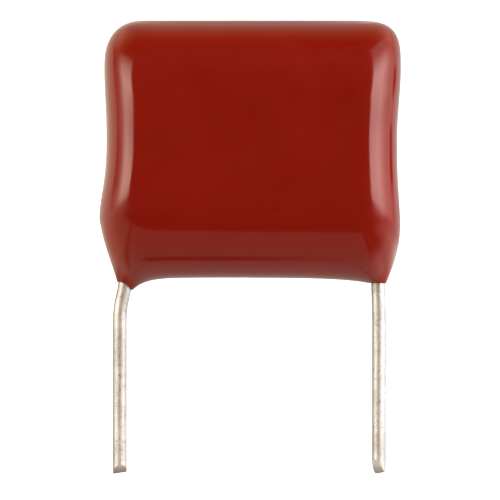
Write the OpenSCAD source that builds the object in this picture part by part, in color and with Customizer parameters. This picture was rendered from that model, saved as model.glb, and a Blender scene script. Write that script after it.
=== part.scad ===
// Dipped polyester film capacitor with two radial wire leads.
// X runs from the left lead to the right one, Y through the thickness, Z up from the board.
// The origin lies midway between the leads, on the face of the board that they enter.
// A pair in square brackets holds the left side's value first, then the right side's.

/* [Leads] */
// Distance between the leads at the board
lead_pitch = 15; // [12.5:0.1:22.5]
// Diameter of the lead wire
lead_d = 0.8; // [0.6:0.05:1]
// Length of each lead below the board's upper face
lead_below = 8.6; // [3:0.1:25]
// How far the left lead steps outward between the coating and the board
left_step = 0.34; // [0.04:0.02:0.6]
// How far the right lead steps outward between the coating and the board
right_step = 0.06; // [0.04:0.02:0.6]
// Height over the board at which that step ends
step_foot = 0.3; // [0.25:0.05:0.6]
// Height over the coating's underside at which that step begins
step_head = 0.25; // [0.1:0.05:0.6]
// Height of the sloping faces of the cut at the left lead's end
left_cut_h = 0.48; // [0.2:0.02:0.9]
// Height of the sloping faces of the cut at the right lead's end
right_cut_h = 0.8; // [0.2:0.02:0.9]
// Turn of the left lead's cutting ridge about the wire
left_cut_turn = 0; // [-90:5:90]
// Turn of the right lead's cutting ridge about the wire
right_cut_turn = -50; // [-90:5:90]
// How far behind the wire's middle the left lead's ridge lies
left_cut_back = 0.15; // [0:0.01:0.16]
// How far behind the wire's middle the right lead's ridge lies
right_cut_back = 0.1; // [0:0.01:0.16]
// Width of the blunt ridge that the cutter leaves
cut_land = 0.1; // [0.05:0.01:0.2]

/* [Element] */
// Height of the pressed film winding
winding_h = 13.2; // [11:0.1:20]
// Thickness of the pressed film winding
winding_t = 6.2; // [4.5:0.1:8]
// Width of the slit that the pressed core leaves in the winding
core_slit = 0.1; // [0.05:0.01:0.3]
// Thickness of the metal sprayed on each end of the winding
spray_t = 0.5; // [0.3:0.05:0.8]
// Depth that each lead is pressed into the sprayed metal when it is welded
weld_sink = 0.15; // [0.05:0.01:0.25]
// How far each lead ends below the top of the winding
tail_short = 3; // [1:0.1:6]

/* [Coating] */
// Height of the coating's flat underside over the board
seat_h = 2.75; // [2:0.05:5]
// Coating over the front and back faces of the winding
face_coat = 0.7; // [0.5:0.05:1.2]
// Coating over the top of the winding
top_coat = 0.84; // [0.6:0.02:1.4]
// Coating under the winding
under_coat = 0.85; // [0.6:0.05:1.4]
// Coating over the left lead at the shoulder
left_shoulder_coat = 0.84; // [0.5:0.01:1.5]
// Coating over the left lead at the waist
left_waist_coat = 0.71; // [0.5:0.01:1.5]
// Coating over the left lead at the hip
left_hip_coat = 1.12; // [0.5:0.01:1.5]
// Coating over the right lead at the shoulder
right_shoulder_coat = 0.93; // [0.5:0.01:1.5]
// Coating over the right lead at the waist
right_waist_coat = 0.71; // [0.5:0.01:1.5]
// Coating over the right lead at the hip
right_hip_coat = 0.89; // [0.5:0.01:1.5]
// Height of the left hip over the underside
left_hip_h = 3.4; // [2.4:0.1:4]
// Height of the right hip over the underside
right_hip_h = 2.9; // [2.4:0.1:4]
// How far the coating runs down the left lead below the underside
left_run_down = 0.74; // [0.2:0.02:1]
// How far the coating runs down the right lead below the underside
right_run_down = 0.32; // [0.2:0.02:1]
// Rise of the left run-down's edge from its inner to its outer side
left_lip_rise = 0.5; // [0:0.05:0.8]
// Rise of the right run-down's edge from its inner to its outer side
right_lip_rise = 0; // [0:0.05:0.8]
// Reach of the fillet between the left run-down and the underside
left_fillet = 0.72; // [0.4:0.02:2]
// Reach of the fillet between the right run-down and the underside
right_fillet = 1.7; // [0.4:0.02:2]
// Thickness of the coating's edge on the leads
lip_t = 0.07; // [0.05:0.01:0.2]
// Height of the rounded upper corners, seen from the front
corner_h = 2.75; // [2:0.05:4]
// Width of the rounded upper left corner, seen from the front
left_corner_w = 2.45; // [2:0.05:4]
// Width of the rounded upper right corner, seen from the front
right_corner_w = 2.8; // [2:0.05:4]
// Reach of the rounding of the side edges over the face
side_round = 2.5; // [1.8:0.1:3]
// Reach of the rounding of the upper edge over the face
top_round = 3.6; // [2.5:0.1:4]
// Reach of the rounding of the lower edge over the face
foot_round = 4.4; // [2.5:0.1:4.8]
// Radius of the upper corners of the flat area of the face
top_corner_r = 1.9; // [0.5:0.1:2.5]
// Radius of the lower corners of the flat area of the face
foot_corner_r = 1; // [0.5:0.1:2.5]
// How much further left the flat area of the face reaches at its foot than at its top
left_face_spread = 0.26; // [0:0.02:0.4]
// How much further right the flat area of the face reaches at its foot than at its top
right_face_spread = 0.12; // [0:0.02:0.4]

/* [Hidden] */
// Room between the coating or the spray and the curved surfaces that they hold
bond_gap = 0.02;
// How much thicker than the wire the beads are that join its stretches
seam_bead = 0.003;
lead_r = lead_d / 2;
run_x = lead_pitch / 2;
step = [left_step, right_step];
cut_h = [left_cut_h, right_cut_h];
cut_turn = [left_cut_turn, right_cut_turn];
cut_back = [left_cut_back, right_cut_back];
// Tilt of the cutting ridges against the level
cut_tilt = [-8, -8];
shoulder_coat = [left_shoulder_coat, right_shoulder_coat];
waist_coat = [left_waist_coat, right_waist_coat];
hip_coat = [left_hip_coat, right_hip_coat];
hip_h = [left_hip_h, right_hip_h];
run_down = [left_run_down, right_run_down];
lip_rise = [left_lip_rise, right_lip_rise];
fillet = [left_fillet, right_fillet];
corner_w = [left_corner_w, right_corner_w];
face_spread = [left_face_spread, right_face_spread];

// The element stands midway between the two welded tails, which lie tail_u to each side of it.
element_x = (left_step - right_step) / 2;
tail_u = run_x - (left_step + right_step) / 2;
spray_u = tail_u - lead_r + weld_sink;
film_u = spray_u - spray_t;
winding_r = winding_t / 2;
winding_foot = seat_h + under_coat;
winding_top = winding_foot + winding_h;
tail_top = winding_top - tail_short;
// Length below the board of the wire before its end is cut off
uncut_l = lead_below + lead_d;
step_top = seat_h + step_head;
step_h = step_top - step_foot;
coat_top = winding_top + top_coat;
coat_half_t = winding_r + face_coat;
// Half width of the coating's edge on a lead
lip_w = lead_r + lip_t;
shoulder_z = coat_top - corner_h;
face_foot = seat_h + foot_round;
face_top = coat_top - top_round;

// Exponents of the rounded section of the coating: 2 is an ellipse, less is leaner, more is fuller.
side_fullness = 2.4;
end_fullness = 2.15;
// Exponents of the upper and lower corners, of the swell from waist to hip and of the taper from hip to lip
corner_power = [2.5, 3.4];
heel_power = 2.2;
hip_power = 1.5;
taper_power = [1.15, 1.75];
// Where the waist lies between the hip, at 0, and the shoulder, at 1
waist_share = 0.56;
// Width of the body's lower corners
heel_w = 3;
// Reach over which the tapered edge passes into the body to its front and back
taper_fade = 0.6;

// Points along each stretch of one half of the coating's outline, and slices through half the thickness
bottom_steps = 12;
lip_steps = 4;
taper_steps = 10;
side_steps = 10;
corner_steps = 12;
top_steps = 3;
slice_steps = 12;

wire_fn = 48;
round_fn = 96;
// Facets of a full circle of a step's wide arc, of which only a few degrees are used
arc_fn = 1440;

function mix(a, b, t) = a + (b - a) * t;
function ease(t) = t * t * (3 - 2 * t);
function side_sign(side) = side == 0 ? -1 : 1;

// Lead wires

// Radius and angle of the two equal arcs that make up a lead's step
function step_r(side) = (pow(step_h, 2) + pow(step[side], 2)) / (4 * step[side]);
function step_angle(side) = 2 * atan(step[side] / step_h);

// Distance of a lead's middle from the element's middle at height z, in the upper half of its step
function lead_u(side, z) = tail_u + step_r(side) - sqrt(pow(step_r(side), 2) - pow(step_top - z, 2));

// One arc of a step, from the origin: straight up and then inward, or straight down and then outward
module step_arc(side, r, up) {
  rotate([90 * up, 0, up * side_sign(side) > 0 ? 0 : 180])
    translate([-step_r(side), 0, 0])
      rotate_extrude(angle = step_angle(side), $fn = arc_fn)
        translate([step_r(side), 0])
          circle(r = r, $fn = wire_fn);
}

// What a cutter takes off the end of a lead: all below two slopes that meet in a blunt ridge behind the origin
module cut_off(side) {
  reach = 2 * lead_d;
  near = cut_back[side] - cut_land / 2;
  far = cut_back[side] + cut_land / 2;
  near_slope = cut_h[side] / (lead_r + near);
  far_slope = cut_h[side] / (lead_r - far);
  rotate([0, cut_tilt[side], cut_turn[side]])
    rotate([90, 0, 90])
      linear_extrude(height = 2 * reach, center = true)
        polygon([
          [near, 0],
          [-reach, near_slope * (reach + near)],
          [-reach, -reach],
          [reach, -reach],
          [reach, far_slope * (reach - far)],
          [far, 0]
        ]);
}

// The straight tail that is welded to the element, of wire radius r
module tail(side, r) {
  translate([element_x + side_sign(side) * tail_u, 0, step_top])
    cylinder(h = tail_top - step_top, r = r, $fn = wire_fn);
}

// A whole lead of wire radius r: straight run, step and welded tail, with a bead at each joint between them
module wire(side, r) {
  s = side_sign(side);
  head = [element_x + s * tail_u, 0, step_top];
  foot = [s * run_x, 0, step_foot];
  translate([s * run_x, 0, -uncut_l])
    cylinder(h = uncut_l + step_foot, r = r, $fn = wire_fn);
  translate(foot)
    step_arc(side, r, 1);
  translate(head)
    step_arc(side, r, -1);
  tail(side, r);
  for (joint = [head, (head + foot) / 2, foot])
    translate(joint)
      sphere(r = r + seam_bead, $fn = wire_fn);
}

module lead(side) {
  ridge_rise = lead_r * tan(abs(cut_tilt[side]));
  color([0.86, 0.84, 0.79])
    difference() {
      wire(side, lead_r);
      translate([side_sign(side) * run_x, 0, ridge_rise - lead_below])
        cut_off(side);
    }
}

module lead_left() {
  lead(0);
}

module lead_right() {
  lead(1);
}

// Element

// The stadium section of the pressed winding, grown by gap, drawn in X and Y with its height along Y
module winding_section(gap) {
  straight = winding_h - winding_t;
  square([winding_t + 2 * gap, straight], center = true);
  for (end = [-1, 1])
    translate([0, end * straight / 2])
      circle(r = winding_r + gap, $fn = round_fn);
}

// A slab with the winding's section between two distances from the element's middle
module winding_slab(from_u, to_u, gap) {
  translate([element_x + from_u, 0, winding_foot + winding_h / 2])
    rotate([90, 0, 90])
      linear_extrude(height = to_u - from_u)
        winding_section(gap);
}

module film_winding() {
  color([0.80, 0.79, 0.74])
    difference() {
      winding_slab(-film_u, film_u, 0);
      translate([element_x, 0, winding_foot + winding_h / 2])
        cube([2 * film_u + 2, core_slit, winding_h - winding_t], center = true);
    }
}

module end_spray(side) {
  color([0.55, 0.54, 0.52])
    difference() {
      if (side == 0)
        winding_slab(-spray_u, -film_u, 0);
      else
        winding_slab(film_u, spray_u, 0);
      tail(side, lead_r + bond_gap);
    }
}

module end_spray_left() {
  end_spray(0);
}

module end_spray_right() {
  end_spray(1);
}

// Coating

// Distance of the coating's side edge from the element's middle, for a coating c thick over the lead
function edge_u(c) = tail_u + lead_r + c;

// Side edge at height z, between the hip and the shoulder
function side_edge(side, z) =
  let (
    hip_z = seat_h + hip_h[side],
    waist_z = mix(hip_z, shoulder_z, waist_share),
    waist = edge_u(waist_coat[side])
  )
  z > waist_z
    ? mix(waist, edge_u(shoulder_coat[side]), ease((z - waist_z) / (shoulder_z - waist_z)))
    : mix(waist, edge_u(hip_coat[side]), ease(pow((waist_z - z) / (waist_z - hip_z), hip_power)));

// Corner of the flat area of the face: a quarter circle, at angle a from the X axis
function face_corner(side, a) =
  let (
    lower = a < 0,
    r = lower ? foot_corner_r : top_corner_r,
    corner_u = edge_u(waist_coat[side]) - side_round + (lower ? face_spread[side] : 0),
    corner_z = lower ? face_foot + r : face_top - r
  )
  [corner_u - r * (1 - cos(a)), corner_z + r * sin(a)];

// Where the lower corner of the rounded body begins on the underside
function heel_u(side) = edge_u(hip_coat[side]) - heel_w;

// Lower corner of the rounded body, at angle a from the X axis
function heel(side, a) =
  [
    heel_u(side) + heel_w * pow(cos(a), 2 / heel_power),
    seat_h + hip_h[side] * (1 - pow(-sin(a), 2 / heel_power))
  ];

// Angle on that corner at a distance u from the element's middle; -90 on the flat underside before it
function heel_angle(side, u) = -acos(pow(max(0, (u - heel_u(side)) / heel_w), heel_power / 2));

// Exponent of the section at an angle on that corner
function heel_fullness(a) = mix(side_fullness, end_fullness, ease(-a / 90));

// Each station of the outline is [edge, body, face, fullness, away, fade]: a point of the edge in the middle
// plane, the point of the rounded body that it passes into off that plane, the point at the flat face,
// the exponent of the section, the edge's distance from the lead's middle and the reach over which it passes
// into the body. Points are [distance from the element's middle, height].

// A station of the underside, with the body straight above the edge
function under_station(side, edge, away, fade) =
  let (
    a = heel_angle(side, edge[0]),
    corner = face_corner(side, a)
  )
  [
    edge,
    [edge[0], heel(side, a)[1]],
    [corner[0] * min(1, edge[0] / heel_u(side)), corner[1]],
    heel_fullness(a),
    away,
    fade
  ];

function bottom_station(side, t) =
  let (
    lip_z = seat_h - run_down[side],
    middle_u = lead_u(side, lip_z),
    lip_u = middle_u - lip_w,
    u = lip_u * (1 - pow(1 - t, 2)),
    depth = run_down[side] * exp((u - lip_u) / fillet[side])
  )
  under_station(side, [u, seat_h - depth], middle_u - u, fillet[side]);

function lip_station(side, t) =
  let (
    share = (1 - cos(180 * t)) / 2,
    z = seat_h - run_down[side] + lip_rise[side] * (1 - pow(1 - share, 2)),
    across = mix(-lip_w, lip_w, share),
    fade = mix(fillet[side], taper_fade, ease(share))
  )
  under_station(side, [lead_u(side, z) + across, z], abs(across), fade);

function taper_station(side, t) =
  let (
    lip = lip_station(side, 1)[0],
    hip = heel(side, 0),
    a = mix(heel_angle(side, lip[0]), 0, t),
    u = mix(hip[0], lip[0], pow(1 - t, taper_power[side]))
  )
  [
    [u, mix(lip[1], hip[1], t)],
    heel(side, a),
    face_corner(side, a),
    heel_fullness(a),
    lip_w + u - lip[0],
    taper_fade
  ];

// A station above the hip, where the edge is the body's own
function upper_station(edge, face, fullness) = [edge, edge, face, fullness, lip_w, taper_fade];

function side_station(side, t) =
  let (
    z = mix(seat_h + hip_h[side], shoulder_z, t),
    face_u = face_corner(side, 0)[0] + face_spread[side] * (1 - t),
    face_z = mix(face_foot + foot_corner_r, face_top - top_corner_r, t)
  )
  upper_station([side_edge(side, z), z], [face_u, face_z], side_fullness);

function corner_station(side, t) =
  let (
    a = 90 * t,
    edge = [
      edge_u(shoulder_coat[side]) - corner_w[side] * (1 - pow(cos(a), 2 / corner_power[side])),
      shoulder_z + corner_h * pow(sin(a), 2 / corner_power[side])
    ]
  )
  upper_station(edge, face_corner(side, a), mix(side_fullness, end_fullness, ease(t)));

function top_station(side, t) =
  let (edge = [(edge_u(shoulder_coat[side]) - corner_w[side]) * (1 - t), coat_top])
  upper_station(edge, [face_corner(side, 90)[0] * (1 - t), face_top], end_fullness);

// One half of the outline, from the middle of the underside round to just short of the middle of the top
function half_outline(side) = concat(
  [for (i = [0:bottom_steps - 1]) bottom_station(side, i / bottom_steps)],
  [for (i = [0:lip_steps - 1]) lip_station(side, i / lip_steps)],
  [for (i = [0:taper_steps - 1]) taper_station(side, i / taper_steps)],
  [for (i = [0:side_steps - 1]) side_station(side, i / side_steps)],
  [for (i = [0:corner_steps - 1]) corner_station(side, i / corner_steps)],
  [for (i = [0:top_steps - 1]) top_station(side, i / top_steps)]
);

// A station with its points set out along X, to the left or to the right of the element's middle
function placed(side, st) =
  let (s = side_sign(side))
  [
    for (i = [0:2])
      [element_x + s * st[i][0], st[i][1]],
    st[3],
    st[4],
    st[5]
  ];

// The whole outline: up the right side from the underside's middle, then down the left side
function whole_outline() =
  let (left = half_outline(0))
  concat(
    [for (st = half_outline(1)) placed(1, st)],
    [placed(0, top_station(0, 1))],
    [for (i = [len(left) - 1:-1:1]) placed(0, left[i])]
  );

// Point of a station at depth y: on the edge at the middle plane, then on the body, last on the flat face
function station_point(st, y) =
  let (
    off = max(0, norm([st[4], y]) - max(st[4], lip_w)),
    outer = mix(st[1], st[0], exp(-off / st[5])),
    share = min(1, abs(y) / coat_half_t),
    spread = pow(1 - pow(share, st[3]), 1 / st[3]),
    point = mix(st[2], outer, spread)
  )
  [point[0], y, point[1]];

// The outer form of the coating, lofted through slices from the front face to the back face
module coating_form() {
  outline = whole_outline();
  half_slices = [for (j = [1:slice_steps]) mix(lip_w, coat_half_t, sin(90 * j / slice_steps))];
  lip_slices = [for (j = [0:lip_steps]) -lip_w * cos(180 * j / lip_steps)];
  slices = concat([for (j = [slice_steps - 1:-1:0]) -half_slices[j]], lip_slices, half_slices);
  ring_n = len(outline);
  slice_n = len(slices);
  rings = [
    for (y = slices)
      for (st = outline)
        station_point(st, y)
  ];
  middle_z = (seat_h + coat_top) / 2;
  caps = [[element_x, -coat_half_t, middle_z], [element_x, coat_half_t, middle_z]];
  front_cap = len(rings);
  back_cap = front_cap + 1;
  last = (slice_n - 1) * ring_n;
  walls = [
    for (j = [0:slice_n - 2])
      for (k = [0:ring_n - 1])
        let (
          a = j * ring_n + k,
          b = j * ring_n + (k + 1) % ring_n
        )
        each [[a, b, a + ring_n], [b, b + ring_n, a + ring_n]]
  ];
  front = [for (k = [0:ring_n - 1]) [front_cap, (k + 1) % ring_n, k]];
  back = [for (k = [0:ring_n - 1]) [back_cap, last + k, last + (k + 1) % ring_n]];
  polyhedron(points = concat(rings, caps), faces = concat(walls, front, back), convexity = 6);
}

module epoxy_coating() {
  color([0.50, 0.06, 0.04])
    difference() {
      coating_form();
      winding_slab(-spray_u - bond_gap, spray_u + bond_gap, bond_gap);
      for (side = [0, 1])
        wire(side, lead_r + bond_gap);
    }
}

epoxy_coating();
film_winding();
end_spray_left();
end_spray_right();
lead_left();
lead_right();
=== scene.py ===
"""Dipped polyester film capacitor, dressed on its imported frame."""

import math
from typing import NamedTuple

import bpy
import numpy as np
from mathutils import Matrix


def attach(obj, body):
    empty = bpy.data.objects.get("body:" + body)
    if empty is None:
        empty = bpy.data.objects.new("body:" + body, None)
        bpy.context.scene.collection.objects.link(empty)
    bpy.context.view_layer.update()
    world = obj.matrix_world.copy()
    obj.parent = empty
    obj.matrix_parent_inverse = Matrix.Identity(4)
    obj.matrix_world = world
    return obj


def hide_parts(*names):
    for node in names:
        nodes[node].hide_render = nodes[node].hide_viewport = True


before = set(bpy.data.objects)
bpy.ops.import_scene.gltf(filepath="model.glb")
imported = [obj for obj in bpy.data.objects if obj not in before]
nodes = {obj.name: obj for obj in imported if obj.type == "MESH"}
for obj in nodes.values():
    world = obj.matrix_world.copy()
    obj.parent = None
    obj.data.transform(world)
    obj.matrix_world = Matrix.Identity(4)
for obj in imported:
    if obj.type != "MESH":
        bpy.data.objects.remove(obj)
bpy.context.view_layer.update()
scene = bpy.context.scene
MM = 0.001
LEFT, RIGHT = 0, 1
WHITE = (1, 1, 1)


# Sizes of the coating in millimetres, as in the part's source. A pair holds the left side's value first.
LEAD_R = 0.4
RUN_X = 7.5
STEP = (0.34, 0.06)
STEP_FOOT = 0.3
STEP_HEAD = 0.25
SEAT_H = 2.75
COAT_TOP = 17.64
COAT_HALF_T = 3.8
LIP_T = 0.07
SHOULDER_COAT = (0.84, 0.93)
WAIST_COAT = (0.71, 0.71)
HIP_COAT = (1.12, 0.89)
HIP_H = (3.4, 2.9)
RUN_DOWN = (0.74, 0.32)
LIP_RISE = (0.5, 0.0)
FILLET = (0.72, 1.7)
CORNER_H = 2.75
CORNER_W = (2.45, 2.8)
CORNER_POWER = (2.5, 3.4)
SIDE_ROUND = 2.5
TOP_ROUND = 3.6
FOOT_ROUND = 4.4
TOP_CORNER_R = 1.9
FOOT_CORNER_R = 1.0
FACE_SPREAD = (0.26, 0.12)
SIDE_FULLNESS = 2.4
END_FULLNESS = 2.15
HEEL_W = 3.0
HEEL_POWER = 2.2
TAPER_FADE = 0.6
TAPER_POWER = (1.15, 1.75)
HIP_POWER = 1.5
WAIST_SHARE = 0.56

ELEMENT_X = (STEP[LEFT] - STEP[RIGHT]) / 2
TAIL_U = RUN_X - (STEP[LEFT] + STEP[RIGHT]) / 2
STEP_TOP = SEAT_H + STEP_HEAD
STEP_H = STEP_TOP - STEP_FOOT
LIP_W = LEAD_R + LIP_T
SHOULDER_Z = COAT_TOP - CORNER_H
FACE_FOOT = SEAT_H + FOOT_ROUND
FACE_TOP = COAT_TOP - TOP_ROUND

# Slices of the coating through half the width of a run-down, and from there to a flat face
LIP_SLICES = 7
BODY_SLICES = 34
# Sizes of the rings that close a flat face, as shares of its rim
CAP_SHARES = (0.93, 0.8, 0.62, 0.42, 0.2)


def mix(a, b, t):
    return a + (b - a) * t


def ease(t):
    return t * t * (3 - 2 * t)


def rounded(a, power):
    """The point at angle a on a quarter of a rounded corner of size 1; a power of 2 makes it a circle."""
    a = math.radians(a)
    return max(0.0, math.cos(a)) ** (2 / power), abs(math.sin(a)) ** (2 / power)


def lead_u(side, z):
    """Distance of a lead's middle from the element's middle, in the upper half of the lead's step."""
    r = (STEP_H ** 2 + STEP[side] ** 2) / (4 * STEP[side])
    return TAIL_U + r - math.sqrt(r * r - (STEP_TOP - z) ** 2)


def edge_u(coat):
    """Distance of the coating's side edge from the element's middle, where it is so thick over the lead."""
    return TAIL_U + LEAD_R + coat


def side_edge(side, z):
    """The side edge at height z, between the hip and the shoulder."""
    hip_z = SEAT_H + HIP_H[side]
    waist_z = mix(hip_z, SHOULDER_Z, WAIST_SHARE)
    waist = edge_u(WAIST_COAT[side])
    if z > waist_z:
        return mix(waist, edge_u(SHOULDER_COAT[side]), ease((z - waist_z) / (SHOULDER_Z - waist_z)))
    return mix(waist, edge_u(HIP_COAT[side]), ease(((waist_z - z) / (waist_z - hip_z)) ** HIP_POWER))


def face_corner(side, a, upper):
    """The point at angle a on a corner of the flat area of the face."""
    r = TOP_CORNER_R if upper else FOOT_CORNER_R
    corner_u = edge_u(WAIST_COAT[side]) - SIDE_ROUND + (0 if upper else FACE_SPREAD[side])
    corner_z = FACE_TOP - r if upper else FACE_FOOT + r
    a = math.radians(a)
    return np.array((corner_u - r * (1 - math.cos(a)), corner_z + r * math.sin(a)))


def heel_u(side):
    """Where the lower corner of the rounded body begins on the underside."""
    return edge_u(HIP_COAT[side]) - HEEL_W


def heel(side, a):
    """The point at angle a on that corner."""
    across, down = rounded(a, HEEL_POWER)
    return np.array((edge_u(HIP_COAT[side]) - HEEL_W * (1 - across), SEAT_H + HIP_H[side] * (1 - down)))


def heel_angle(side, u):
    """The angle on that corner at a distance u from the element's middle; -90 on the underside."""
    return -math.degrees(math.acos(max(0.0, (u - heel_u(side)) / HEEL_W) ** (HEEL_POWER / 2)))


def heel_fullness(a):
    return mix(SIDE_FULLNESS, END_FULLNESS, ease(-a / 90))


class Station(NamedTuple):
    """A place on the coating's outline. A point is its distance from the element's middle and its height."""

    # Points of the edge in the middle plane, of the body that it passes into and of the flat face's rim
    edge: np.ndarray
    body: np.ndarray
    face: np.ndarray
    # Exponent of the section between edge and face
    fullness: float
    # Distance of the edge from the lead's middle, and the reach over which it passes into the body
    away: float
    fade: float


def under_station(side, edge, away, fade):
    """A station of the underside, with the body straight above the edge."""
    a = heel_angle(side, edge[0])
    corner = face_corner(side, a, False)
    inward = min(1.0, edge[0] / heel_u(side))
    body = np.array((edge[0], heel(side, a)[1]))
    face = np.array((corner[0] * inward, corner[1]))
    return Station(np.array(edge), body, face, heel_fullness(a), away, fade)


def bottom_station(side, t):
    lip_z = SEAT_H - RUN_DOWN[side]
    middle = lead_u(side, lip_z)
    lip_u = middle - LIP_W
    u = lip_u * (1 - (1 - t) ** 2)
    depth = RUN_DOWN[side] * math.exp((u - lip_u) / FILLET[side])
    return under_station(side, (u, SEAT_H - depth), middle - u, FILLET[side])


def lip_station(side, t):
    share = (1 - math.cos(math.pi * t)) / 2
    z = SEAT_H - RUN_DOWN[side] + LIP_RISE[side] * (1 - (1 - share) ** 2)
    across = mix(-LIP_W, LIP_W, share)
    fade = mix(FILLET[side], TAPER_FADE, ease(share))
    return under_station(side, (lead_u(side, z) + across, z), abs(across), fade)


def taper_station(side, t):
    lip = lip_station(side, 1).edge
    hip = heel(side, 0)
    a = mix(heel_angle(side, lip[0]), 0, t)
    u = mix(hip[0], lip[0], (1 - t) ** TAPER_POWER[side])
    edge = np.array((u, mix(lip[1], hip[1], t)))
    face = face_corner(side, a, False)
    return Station(edge, heel(side, a), face, heel_fullness(a), u - lip[0] + LIP_W, TAPER_FADE)


def upper_station(edge, face, fullness):
    """A station above the hip, where the edge is the body's own."""
    return Station(edge, edge, face, fullness, LIP_W, TAPER_FADE)


def side_station(side, t):
    z = mix(SEAT_H + HIP_H[side], SHOULDER_Z, t)
    face = mix(face_corner(side, 0, False), face_corner(side, 0, True), t)
    return upper_station(np.array((side_edge(side, z), z)), face, SIDE_FULLNESS)


def corner_station(side, t):
    a = 90 * t
    across, up = rounded(a, CORNER_POWER[side])
    u = edge_u(SHOULDER_COAT[side]) - CORNER_W[side] * (1 - across)
    edge = np.array((u, SHOULDER_Z + CORNER_H * up))
    return upper_station(edge, face_corner(side, a, True), mix(SIDE_FULLNESS, END_FULLNESS, ease(t)))


def top_station(side, t):
    edge = np.array(((edge_u(SHOULDER_COAT[side]) - CORNER_W[side]) * (1 - t), COAT_TOP))
    face = np.array((face_corner(side, 90, True)[0] * (1 - t), FACE_TOP))
    return upper_station(edge, face, END_FULLNESS)


# The stretches of half the outline, from the underside's middle to the top's middle, and their steps
STRETCHES = (
    (bottom_station, 44),
    (lip_station, 14),
    (taper_station, 34),
    (side_station, 44),
    (corner_station, 44),
    (top_station, 16),
)


def half_outline(side):
    return [station(side, i / steps) for station, steps in STRETCHES for i in range(steps)]


def set_out(side, station):
    """The station with its points set out along X, to the left or to the right of the element's middle."""
    sign = -1 if side == LEFT else 1
    points = [np.array((ELEMENT_X + sign * u, z)) for u, z in station[:3]]
    return Station(*points, *station[3:])


def whole_outline():
    """Up the right side from the middle of the underside, then down the left side."""
    left = half_outline(LEFT)
    return (
        [set_out(RIGHT, station) for station in half_outline(RIGHT)]
        + [set_out(LEFT, top_station(LEFT, 1))]
        + [set_out(LEFT, station) for station in left[:0:-1]]
    )


def slices():
    """Depths of the coating's sections, close together at the run-downs and towards the flat faces."""
    lip = [LIP_W * math.sin(math.radians(90 * i / LIP_SLICES)) for i in range(1, LIP_SLICES + 1)]
    turns = [math.sin(math.radians(90 * i / BODY_SLICES)) for i in range(1, BODY_SLICES + 1)]
    half = lip + [mix(LIP_W, COAT_HALF_T, turn) for turn in turns]
    return [-y for y in reversed(half)] + [0.0] + half


def smooth_mesh(name, verts, faces):
    mesh = bpy.data.meshes.new(name)
    mesh.from_pydata(verts, [], faces)
    mesh.validate()
    mesh.polygons.foreach_set("use_smooth", [True] * len(mesh.polygons))
    mesh.update()
    return mesh


def coating_mesh():
    edge, body, face, fullness, away, fade = (np.array(column) for column in zip(*whole_outline()))
    rings = []
    for y in slices():
        off = np.maximum(0, np.sqrt(away ** 2 + y * y) - np.maximum(away, LIP_W))
        outer = mix(body, edge, np.exp(-off / fade)[:, None])
        share = min(1.0, abs(y) / COAT_HALF_T)
        spread = (1 - share ** fullness) ** (1 / fullness)
        point = mix(face, outer, spread[:, None])
        rings.append(np.column_stack((point[:, 0], np.full(len(point), y), point[:, 1])))

    # Each flat face closes in rings towards its middle.
    middle_z = (FACE_FOOT + FACE_TOP) / 2

    def closing(rim):
        x, y, z = rim.T
        return [np.column_stack((mix(ELEMENT_X, x, k), y, mix(middle_z, z, k))) for k in CAP_SHARES]

    stack = closing(rings[0])[::-1] + rings + closing(rings[-1])
    middles = [(ELEMENT_X, y, middle_z) for y in (-COAT_HALF_T, COAT_HALF_T)]
    verts = np.vstack(stack + middles)

    n = len(edge)
    faces = []
    for j in range(len(stack) - 1):
        for k in range(n):
            a, b = j * n + k, j * n + (k + 1) % n
            faces.append((a, b, b + n, a + n))
    last = (len(stack) - 1) * n
    near, far = len(verts) - 2, len(verts) - 1
    for k in range(n):
        faces.append((near, (k + 1) % n, k))
        faces.append((far, last + k, last + (k + 1) % n))
    return smooth_mesh("coating_skin", (verts * MM).tolist(), faces)


# Node trees

def grey(level):
    return (level, level, level)


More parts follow.
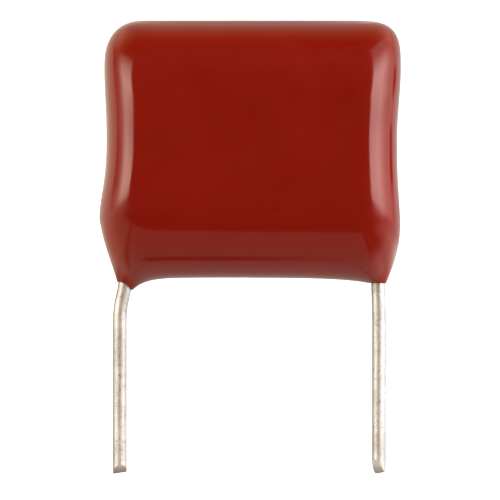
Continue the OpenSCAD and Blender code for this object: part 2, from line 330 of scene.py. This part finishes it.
class Nodes:
    """Shorthand for filling the node tree of a material, a light or the world."""

    def __init__(self, owner):
        owner.use_nodes = True
        self.tree = owner.node_tree
        self.tree.nodes.clear()

    def feed(self, socket, value):
        """Link another node's output to a socket, or set the socket itself."""
        if isinstance(value, bpy.types.NodeSocket):
            self.tree.links.new(value, socket)
        elif isinstance(value, tuple) and len(value) < len(socket.default_value):
            socket.default_value = (*value, 1)
        else:
            socket.default_value = value

    def add(self, kind, sockets=None, **settings):
        node = self.tree.nodes.new(kind)
        for name, value in settings.items():
            setattr(node, name, value)
        for key, value in (sockets or {}).items():
            self.feed(node.inputs[key], value)
        return node

    def place(self, scale=(1, 1, 1)):
        """The object's own coordinates in metres, scaled."""
        coords = self.add("ShaderNodeTexCoord").outputs["Object"]
        return self.add("ShaderNodeMapping", {"Vector": coords, "Scale": scale}).outputs["Vector"]

    def split(self, vector):
        """The X, Y and Z of a vector."""
        return self.add("ShaderNodeSeparateXYZ", {"Vector": vector}).outputs

    def calc(self, operation, *values):
        return self.add("ShaderNodeMath", dict(enumerate(values)), operation=operation).outputs[0]

    def noise(self, vector, scale, detail=2.0, roughness=0.5):
        sockets = {"Vector": vector, "Scale": scale, "Detail": detail, "Roughness": roughness}
        return self.add("ShaderNodeTexNoise", sockets).outputs["Fac"]

    def ramp(self, value, *stops):
        """A colour that changes with a value; each stop is a place and a colour."""
        node = self.add("ShaderNodeValToRGB", {"Fac": value})
        elements = node.color_ramp.elements
        while len(elements) < len(stops):
            elements.new(0.5)
        for element, (at, colour) in zip(elements, stops):
            element.position = at
            element.color = (*colour, 1)
        return node.outputs["Color"]

    def levels(self, value, *stops):
        """A level that changes with a value; each stop is a place and a level."""
        return self.ramp(value, *((at, grey(level)) for at, level in stops))

    def remap(self, value, low, high, to_low=0, to_high=1):
        sockets = {"Value": value, "From Min": low, "From Max": high, "To Min": to_low, "To Max": to_high}
        return self.add("ShaderNodeMapRange", sockets).outputs["Result"]

    def mix(self, share, a, b, blend="MIX"):
        # Sockets 6 and 7 and output 2 are the ones for colours.
        node = self.add("ShaderNodeMix", data_type="RGBA", blend_type=blend)
        for key, value in ((0, share), (6, a), (7, b)):
            self.feed(node.inputs[key], value)
        return node.outputs[2]

    def bump(self, height, strength, distance, normal=None):
        sockets = {"Height": height, "Strength": strength, "Distance": distance}
        if normal is not None:
            sockets["Normal"] = normal
        return self.add("ShaderNodeBump", sockets).outputs["Normal"]

    def emission(self, colour=WHITE, strength=1.0):
        return self.add("ShaderNodeEmission", {"Color": colour, "Strength": strength}).outputs[0]

    def background(self, colour=WHITE, strength=1.0):
        return self.add("ShaderNodeBackground", {"Color": colour, "Strength": strength}).outputs[0]

    def choose(self, share, a, b):
        """Shader a where the share is 0, shader b where it is 1."""
        return self.add("ShaderNodeMixShader", {0: share, 1: a, 2: b}).outputs[0]

    def finish(self, kind, shader):
        self.add(kind, {"Surface": shader})

    def surface(self, **sockets):
        """A principled surface; an underscore stands for the space in a socket's name."""
        named = {key.replace("_", " "): value for key, value in sockets.items()}
        shader = self.add("ShaderNodeBsdfPrincipled", named).outputs[0]
        self.finish("ShaderNodeOutputMaterial", shader)


# Materials

# Where most of a noise's values lie
NOISE_LOW, NOISE_HIGH = 0.3, 0.7

PIGMENT_DARK = (0.220, 0.0066, 0.0016)
PIGMENT_LIGHT = (0.248, 0.0080, 0.0022)
PIGMENT_SPECK = (0.06, 0.002, 0.001)
EPOXY_IOR = 1.53
EPOXY_ROUGHNESS = (0.10, 0.15)
# Cells to a metre that may each hold a speck, how its dot fades outwards, how rare it is and how dark
SPECK_CELLS = 620
SPECK_FADE = (0.05, 0.16)
SPECK_CHANCE = (0.93, 0.94)
SPECK_SHADE = 0.18
# The band across the hips where the gloss is duller, from its foot to its head, and how far out it begins
DULL_Z = (5.0 * MM, 8.5 * MM)
DULL_LEVELS = ((0.1, 0), (0.34, 1), (0.62, 1), (0.95, 0))
DULL_X = (6.6 * MM, 7.3 * MM)
DULL_ROUGHNESS = 0.115

# Colours of the tin's patches over their noise
TIN_PATCHES = (
    (0.28, (0.64, 0.61, 0.57)),
    (0.52, (0.86, 0.86, 0.85)),
    (0.75, (0.92, 0.92, 0.92)),
)
# A cover is a range of a noise and the shares that the colour covers at its two ends.
TIN_STREAK = (0.58, 0.53, 0.46)
STREAK_COVER = (0.45, 0.75, 0, 0.5)
TIN_SPECK = (0.36, 0.27, 0.21)
TIN_SPECK_COVER = (0.55, 0.68, 0, 0.6)
TIN_ROUGHNESS = (0.46, 0.62)
# Painted shade and reflection on the tin by the way that it faces, from the wire's left side at 0 to its
# right side at 1
TIN_SIDE_SHADE = (
    (0.06, (0.48, 0.47, 0.47)),
    (0.14, WHITE),
    (0.58, WHITE),
    (0.68, (0.86, 0.88, 0.89)),
    (0.96, (0.80, 0.87, 0.92)),
    (1.0, (0.70, 0.77, 0.82)),
)
# Z of the wire's normal, from where a cut end's colour begins to where it is full
CUT_FACING = (-0.35, -0.5)
# Colour of the cut ends, from the lower to the upper end of CUT_Z
CUT_Z = (-8.5 * MM, -7.9 * MM)
CUT_COLOURS = (
    (0.0, (0.42, 0.39, 0.38)),
    (0.35, (0.62, 0.53, 0.50)),
    (0.6, (0.88, 0.74, 0.70)),
    (1.0, (0.94, 0.86, 0.83)),
)

FILM_DARK = (0.46, 0.45, 0.41)
FILM_LIGHT = (0.70, 0.69, 0.64)
FILM_ROUGHNESS = (0.3, 0.5)
ZINC_DARK = (0.16, 0.155, 0.15)
ZINC_LIGHT = (0.36, 0.35, 0.33)
ZINC_ROUGHNESS = (0.55, 0.8)


def epoxy_material():
    material = bpy.data.materials.new("dipped_epoxy")
    m = Nodes(material)
    at = m.place()
    cloud = m.noise(at, scale=220, detail=3.0, roughness=0.55)
    body = m.ramp(cloud, (NOISE_LOW, PIGMENT_DARK), (NOISE_HIGH, PIGMENT_LIGHT))
    # Sparse dark specks of pigment under the gloss
    cells = m.add("ShaderNodeTexVoronoi", {"Vector": at, "Scale": SPECK_CELLS}, feature="F1").outputs
    dot = m.remap(cells["Distance"], *SPECK_FADE, 1, 0)
    chance = m.add("ShaderNodeSeparateColor", {"Color": cells["Color"]}).outputs["Red"]
    rare = m.remap(chance, *SPECK_CHANCE, 0, SPECK_SHADE)
    colour = m.mix(m.calc("MULTIPLY", dot, rare), body, PIGMENT_SPECK)
    # The gloss is duller in a band across the hips, at the side edges only
    x, _, z = m.split(at)
    hips = m.levels(m.remap(z, *DULL_Z), *DULL_LEVELS)
    aside = m.remap(m.calc("ABSOLUTE", x), *DULL_X, 0, DULL_ROUGHNESS)
    gloss = m.remap(m.noise(at, scale=900), NOISE_LOW, NOISE_HIGH, *EPOXY_ROUGHNESS)
    rough = m.calc("ADD", gloss, m.calc("MULTIPLY", hips, aside))
    waves = m.bump(m.noise(at, scale=160, detail=1.0), strength=0.12, distance=0.25 * MM)
    fine = m.bump(m.noise(at, scale=2600), strength=0.02, distance=0.04 * MM, normal=waves)
    m.surface(Base_Color=colour, Roughness=rough, IOR=EPOXY_IOR, Normal=fine)
    return material


def wire_material():
    material = bpy.data.materials.new("tinned_wire")
    m = Nodes(material)
    at = m.place()
    streak = m.noise(m.place((1, 1, 0.06)), scale=5200, detail=4.0, roughness=0.6)
    patch = m.noise(at, scale=900, detail=4.0, roughness=0.65)
    tin = m.ramp(patch, *TIN_PATCHES)
    drawn_tin = m.mix(m.remap(streak, *STREAK_COVER), tin, TIN_STREAK)
    # Brown specks where the tin is thin
    thin = m.noise(at, scale=6500, detail=3.0, roughness=0.7)
    speckled = m.mix(m.remap(thin, *TIN_SPECK_COVER), drawn_tin, TIN_SPECK)
    # The tin's colour is painted darker along both sides of the wire as shade and reflection, most of all on
    # the left; the cut ends are bare metal
    facing_x, _, facing_z = m.split(m.add("ShaderNodeTexCoord").outputs["Normal"])
    side_shade = m.ramp(m.remap(facing_x, -1, 1), *TIN_SIDE_SHADE)
    side_shaded = m.mix(1, speckled, side_shade, "MULTIPLY")
    height = m.split(at)["Z"]
    cut = m.ramp(m.remap(height, *CUT_Z), *CUT_COLOURS)
    colour = m.mix(m.remap(facing_z, *CUT_FACING), side_shaded, cut)
    rough = m.remap(streak, 0.25, 0.75, *TIN_ROUGHNESS)
    drawn = m.bump(streak, strength=0.25, distance=0.03 * MM)
    pitting = m.noise(at, scale=4200, detail=3.0, roughness=0.6)
    pits = m.bump(pitting, strength=0.25, distance=0.04 * MM, normal=drawn)
    m.surface(Base_Color=colour, Metallic=0.88, Roughness=rough, Normal=pits)
    return material


def film_material():
    material = bpy.data.materials.new("metallised_film")
    m = Nodes(material)
    layers = m.noise(m.place((0.02, 1, 0.1)), scale=9000)
    colour = m.ramp(layers, (NOISE_LOW, FILM_DARK), (NOISE_HIGH, FILM_LIGHT))
    rough = m.remap(layers, NOISE_LOW, NOISE_HIGH, *FILM_ROUGHNESS)
    wrinkles = m.bump(m.noise(m.place(), scale=3000), strength=0.2, distance=0.03 * MM)
    m.surface(Base_Color=colour, Metallic=0.6, Roughness=rough, Normal=wrinkles)
    return material


def spray_material():
    material = bpy.data.materials.new("sprayed_zinc")
    m = Nodes(material)
    grain = m.noise(m.place(), scale=3500, detail=5.0, roughness=0.7)
    colour = m.ramp(grain, (NOISE_LOW, ZINC_DARK), (NOISE_HIGH, ZINC_LIGHT))
    rough = m.remap(grain, NOISE_LOW, NOISE_HIGH, *ZINC_ROUGHNESS)
    grit = m.bump(grain, strength=0.8, distance=0.1 * MM)
    m.surface(Base_Color=colour, Metallic=0.9, Roughness=rough, Normal=grit)
    return material


# The part

def add_object(name, data):
    obj = bpy.data.objects.new(name, data)
    scene.collection.objects.link(obj)
    return obj


def dress(obj, material):
    obj.data.materials.clear()
    obj.data.materials.append(material)


epoxy = epoxy_material()
tin = wire_material()
zinc = spray_material()

coating = add_object("coating", coating_mesh())
dress(coating, epoxy)
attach(coating, "root")
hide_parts("epoxy_coating")
dress(nodes["epoxy_coating"], epoxy)
dress(nodes["film_winding"], film_material())
for name in ("end_spray_left", "end_spray_right"):
    dress(nodes[name], zinc)
for name in ("lead_left", "lead_right"):
    dress(nodes[name], tin)


# Stage: a white sheet under the leads that bends up behind into a backdrop; lengths are in metres.

FLOOR_Z = -8.6 * MM
FLOOR_FRONT = -26 * MM
FLOOR_BACK = 0.2
BEND_Y = 0.35
BEND_R = 0.2
BEND_STEPS = 12
BACKDROP_TOP = 0.45
# The sheet's columns from left to right. Its right edge comes after them, further out from RIGHT_STEP_Z up.
COLUMNS = (-1.4, -0.3, 0.0, 0.2)
FLOOR_RIGHT = 0.46
BACKDROP_RIGHT = 0.8
RIGHT_STEP_Z = 0.05
# How far the front ends of the first columns come forward
FRONT_SKEW = (0.469, 0.097)

# To the camera the sheet is white. What the gloss mirrors of it is painted light and shade: a tone that
# changes from front to back over TONE_Y, darker in front where less light falls, and a level that changes
# from left to right over LEVEL_X.
PAPER_LEVELS = ((NOISE_LOW, 0.80), (NOISE_HIGH, 0.84))
PAPER_GLOW = 0.74
BOUNCE = 0.74
MIRRORED_STRENGTH = 2.7
TONE_Y = (-31 * MM, 33 * MM)
TONES = (
    (0.0, (0.27, 0.25, 0.19)),
    (0.28, (0.36, 0.33, 0.26)),
    (0.42, (0.43, 0.41, 0.33)),
    (0.50, (0.54, 0.51, 0.44)),
    (0.60, (0.50, 0.46, 0.40)),
    (1.0, (0.52, 0.50, 0.45)),
)
LEFT_TINT = (1.03, 1.03, 0.84)
LEFT_TINT_X = (-6 * MM, -16 * MM)
LEVEL_X = (-40 * MM, 80 * MM)
LEFT_LEVELS = ((0.0, 0.59), (0.133, 0.53), (0.24, 0.36), (0.443, 0.36))
# Levels of the painted shade on the right, in front of the part
RIGHT_SHADE_LEVELS = ((0.453, 0.02), (0.50, 0.03), (0.56, 0.55))
PLAIN_LEVEL = (0.56, 0.66)
RIGHT_LEVELS = ((0.64, 0.84), (1.0, 0.50))
# Where the painted shade on the right ends towards the back
RIGHT_SHADE_Y = (-8.5 * MM, 0)
# Painted shade right under the part, a dark line in what the gloss mirrors: its strength over TONE_Y and
# over LEVEL_X
UNDER_SHADE_LEVEL = 0.05
UNDER_SHADE_DEPTH = ((0.40, 0), (0.418, 1), (0.436, 1), (0.454, 0))
UNDER_SHADE_BREADTH = ((0.257, 0), (0.28, 1), (0.333, 1), (0.387, 0))
# A fainter painted shade on the left, by the collar, that runs back at a slant: its strength across, and how
# it ends at the back
COLLAR_SHADE_LEVEL = 0.03
COLLAR_SHADE_SLANT = -0.225
COLLAR_SHADE_X = (-18 * MM, -12 * MM)
COLLAR_SHADE_BREADTH = ((0.2, 0), (0.42, 0.7), (0.62, 0.7), (0.85, 0))
COLLAR_SHADE_Y = (8 * MM, 2 * MM)
# Where the mirrored sheet ends at the front, how much further forward it does at the second column, half the
# width of that soft edge, and the level past it
GLOSS_FRONT = -23 * MM
GLOSS_SKEW = 0.1
GLOSS_FADE = 0.1 * MM
PAST_LEVEL = 0.002


def sweep_mesh():
    profile = [(FLOOR_FRONT, FLOOR_Z), (0.0, FLOOR_Z), (FLOOR_BACK, FLOOR_Z)]
    for i in range(1, BEND_STEPS + 1):
        a = math.radians(90 * i / BEND_STEPS)
        profile.append((BEND_Y + BEND_R * math.sin(a), FLOOR_Z + BEND_R * (1 - math.cos(a))))
    profile.append((BEND_Y + BEND_R, BACKDROP_TOP))
    verts = []
    for y, z in profile:
        right = FLOOR_RIGHT if z < RIGHT_STEP_Z else BACKDROP_RIGHT
        verts += [(x, y, z) for x in (*COLUMNS, right)]
    for i, forward in enumerate(FRONT_SKEW):
        x, y, z = verts[i]
        verts[i] = (x, y - forward, z)
    n = len(COLUMNS) + 1
    faces = [
        (j * n + i, j * n + i + 1, (j + 1) * n + i + 1, (j + 1) * n + i)
        for j in range(len(profile) - 1)
        for i in range(n - 1)
    ]
    return smooth_mesh("sweep", verts, faces)


def sweep_material():
    """White where the camera sees it, evenly bright to matt surfaces, and dim and uneven in the gloss, with
    light and shade painted on it there.
    """
    material = bpy.data.materials.new("white_sheet")
    m = Nodes(material)
    at = m.place()
    x, y, _ = m.split(at)
    fibres = m.levels(m.noise(at, scale=400, detail=4.0), *PAPER_LEVELS)
    paper = m.add("ShaderNodeBsdfDiffuse", {"Color": fibres}).outputs[0]
    seen = m.add("ShaderNodeAddShader", {0: paper, 1: m.emission(strength=PAPER_GLOW)}).outputs[0]

    depth = m.remap(y, *TONE_Y)
    breadth = m.remap(x, *LEVEL_X)
    tone = m.mix(m.remap(x, *LEFT_TINT_X), m.ramp(depth, *TONES), LEFT_TINT, "MULTIPLY")
    # Painted shade: a dark patch to the right, in front of the part only, seen only in the gloss
    right_shade = m.levels(breadth, *LEFT_LEVELS, *RIGHT_SHADE_LEVELS, *RIGHT_LEVELS)
    plain = m.levels(breadth, *LEFT_LEVELS, PLAIN_LEVEL, *RIGHT_LEVELS)
    level = m.mix(m.remap(y, *RIGHT_SHADE_Y), right_shade, plain)
    # The painted shade under the part draws the dark line along the coating's lower edge, and the painted
    # shade by the left collar a streak there
    under_shade = m.calc("MULTIPLY", m.levels(depth, *UNDER_SHADE_DEPTH), m.levels(breadth, *UNDER_SHADE_BREADTH))
    level = m.mix(under_shade, level, grey(UNDER_SHADE_LEVEL))
    slant = m.calc("MULTIPLY_ADD", y, COLLAR_SHADE_SLANT, x)
    across = m.levels(m.remap(slant, *COLLAR_SHADE_X), *COLLAR_SHADE_BREADTH)
    collar_shade = m.calc("MULTIPLY", across, m.remap(y, *COLLAR_SHADE_Y))
    level = m.mix(collar_shade, level, grey(COLLAR_SHADE_LEVEL))
    # The mirrored sheet ends a little behind the front edge, and askew on the left as that does
    askew = m.calc("ADD", y, m.remap(x, COLUMNS[1], 0, GLOSS_SKEW, 0))
    within = m.remap(askew, GLOSS_FRONT - GLOSS_FADE, GLOSS_FRONT + GLOSS_FADE)
    level = m.mix(within, grey(PAST_LEVEL), level)
    mirrored = m.emission(tone, m.remap(level, 0, 1, 0, MIRRORED_STRENGTH))

    path = m.add("ShaderNodeLightPath").outputs
    unseen = m.choose(path["Is Glossy Ray"], m.emission(strength=BOUNCE), mirrored)
    direct = m.calc("MAXIMUM", path["Is Camera Ray"], path["Is Transmission Ray"])
    m.finish("ShaderNodeOutputMaterial", m.choose(direct, unseen, seen))
    return material


sweep = add_object("sweep", sweep_mesh())
dress(sweep, sweep_material())


# Lights

BOX_DISTANCE = 0.6
# Height that the elevations of the soft boxes are taken from
BOX_LEVEL = 10 * MM
LEFT_GLOW = (1.0, 0.87, 0.70)
RIGHT_GLOW = (1.0, 0.84, 0.77)
EVEN = ((0.0, 1.0), (1.0, 1.0))


def area_light(name, width, height, power, colour=WHITE):
    light = bpy.data.lights.new(name, "AREA")
    light.shape = "RECTANGLE"
    light.size = width
    light.size_y = height
    light.energy = power
    light.color = colour
    obj = add_object(name, light)
    obj.visible_camera = False
    return obj


def softbox(name, azimuth, roll, reach, low, high, radiance, colour, across, up):
    """An upright soft box that only the gloss shows, at an azimuth from the camera's side towards +X.

    Angles are in degrees. roll leans its foot inwards, reach is half of its angular width, and low and high
    are the elevations of its foot and its head. across and up are its brightness from its inner to its outer
    edge and from its foot to its head.
    """
    width = 2 * BOX_DISTANCE * math.tan(math.radians(reach))
    foot, head = (BOX_DISTANCE * math.tan(math.radians(angle)) for angle in (low, high))
    obj = area_light(name, width, head - foot, radiance * math.pi * width * (head - foot), colour)
    a = math.radians(azimuth)
    obj.location = (BOX_DISTANCE * math.sin(a), -BOX_DISTANCE * math.cos(a), BOX_LEVEL + (foot + head) / 2)
    obj.rotation_euler = (math.radians(90), math.copysign(math.radians(roll), a), a)
    obj.visible_diffuse = False
    n = Nodes(obj.data)
    x, y, _ = n.split(n.add("ShaderNodeNewGeometry").outputs["Parametric"])
    along_x = across if azimuth > 0 else [(1 - at, level) for at, level in reversed(across)]
    brightness = n.calc("MULTIPLY", n.levels(x, *along_x), n.levels(y, *up))
    n.finish("ShaderNodeOutputLight", n.emission(strength=brightness))


def panel(name, place, turn, size, power):
    """A matt panel that lights the body and isn't mirrored in its gloss."""
    obj = area_light(name, *size, power)
    obj.location = place
    obj.rotation_euler = [math.radians(angle) for angle in turn]
    obj.visible_glossy = False


softbox(
    "box_left", azimuth=-73.5, roll=6, reach=36, low=-18, high=42, radiance=5.7, colour=LEFT_GLOW,
    across=(
        (0.0, 0.7), (0.055, 1.0), (0.44, 1.0), (0.53, 0.66), (0.63, 0.30),
        (0.73, 0.13), (0.83, 0.11), (0.86, 0.05), (1.0, 0.05),
    ),
    up=(
        (0.0, 0.07), (0.17, 0.08), (0.22, 0.22), (0.26, 0.68), (0.30, 0.96), (0.33, 1.0),
        (0.38, 0.95), (0.48, 0.8), (0.60, 0.6), (0.74, 0.3), (0.9, 0.0),
    ),
)
softbox(
    "box_right", azimuth=80.5, roll=3.5, reach=44, low=-20, high=56, radiance=5.7, colour=RIGHT_GLOW,
    across=(
        (0.0, 0.95), (0.10, 1.0), (0.44, 1.0), (0.55, 0.66), (0.70, 0.33),
        (0.84, 0.21), (0.97, 0.2), (1.0, 0.02),
    ),
    up=(
        (0.0, 0.0), (0.12, 0.24), (0.20, 0.97), (0.23, 1.0), (0.34, 1.0),
        (0.44, 0.72), (0.54, 0.42), (0.66, 0.20), (1.0, 0.17),
    ),
)
softbox(
    "box_edge", azimuth=127, roll=0, reach=6, low=-4, high=-0.4, radiance=1.0, colour=RIGHT_GLOW,
    across=EVEN,
    up=EVEN,
)
panel("key_left", place=(-0.52, -0.28, 0.16), turn=(75, 0, -62), size=(0.4, 0.4), power=1.15)
panel("key_right", place=(0.56, -0.19, 0.16), turn=(75, 0, 72), size=(0.4, 0.4), power=2.6)
panel("side_left", place=(-0.6, 0.1, 0.06), turn=(85, 0, -99.5), size=(0.3, 0.3), power=1.6)
panel("side_right", place=(0.6, 0.1, 0.06), turn=(85, 0, 99.5), size=(0.3, 0.3), power=1.3)
panel("fill", place=(0, -0.044, 0.048), turn=(46, 0, 0), size=(0.12, 0.04), power=0.0105)


# Room: white to the camera, dark in front of the gloss, with a warm ceiling above and behind it

ROOM_STRENGTH = 0.58
# Ranges of a direction's parts: the ceiling from front to back, its rise from the walls, and its windows
CEILING_Y = (-0.3, 0.8)
CEILING_Z = (0.3, 0.65)
WINDOWS_X = (0.3, 0.7)
# How much brighter the ceiling is towards the windows on both sides
WINDOWS = 2.2
# Colours of the ceiling from front to back
CEILING = (
    (0.0, (0.003, 0.003, 0.003)),
    (0.05, (0.04, 0.022, 0.01)),
    (0.27, (0.28, 0.14, 0.06)),
    (0.545, (0.55, 0.37, 0.18)),
    (0.70, (0.65, 0.50, 0.38)),
    (0.855, (0.70, 0.57, 0.46)),
    (1.0, (0.78, 0.72, 0.62)),
)


def room_world():
    world = bpy.data.worlds.new("room")
    w = Nodes(world)
    x, y, z = w.split(w.add("ShaderNodeTexCoord").outputs["Generated"])
    tint = w.ramp(w.remap(y, *CEILING_Y), *CEILING)
    above = w.remap(z, *CEILING_Z)
    windows = w.remap(w.calc("ABSOLUTE", x), *WINDOWS_X, 1, WINDOWS)
    ceiling = w.background(tint, w.calc("MULTIPLY", above, windows))
    path = w.add("ShaderNodeLightPath").outputs
    unseen = w.choose(path["Is Glossy Ray"], w.background(strength=ROOM_STRENGTH), ceiling)
    w.finish("ShaderNodeOutputWorld", w.choose(path["Is Camera Ray"], unseen, w.background()))
    return world


scene.world = room_world()


# Camera: level, straight at the front, with a long lens

CAMERA_DISTANCE = 0.25
VIEW_WIDTH = 28.94 * MM
VIEW_X = 0.035 * MM
VIEW_Z = 4.36 * MM
SENSOR_WIDTH = 36

camera_data = bpy.data.cameras.new("camera")
camera_data.sensor_width = SENSOR_WIDTH
camera_data.sensor_fit = "HORIZONTAL"
camera_data.lens = SENSOR_WIDTH * CAMERA_DISTANCE / VIEW_WIDTH
camera_data.clip_start = 0.01
camera_data.clip_end = 10
camera = add_object("camera", camera_data)
camera.location = (VIEW_X, -CAMERA_DISTANCE, VIEW_Z)
camera.rotation_euler = (math.radians(90), 0, 0)
scene.camera = camera

scene.view_settings.view_transform = "Standard"
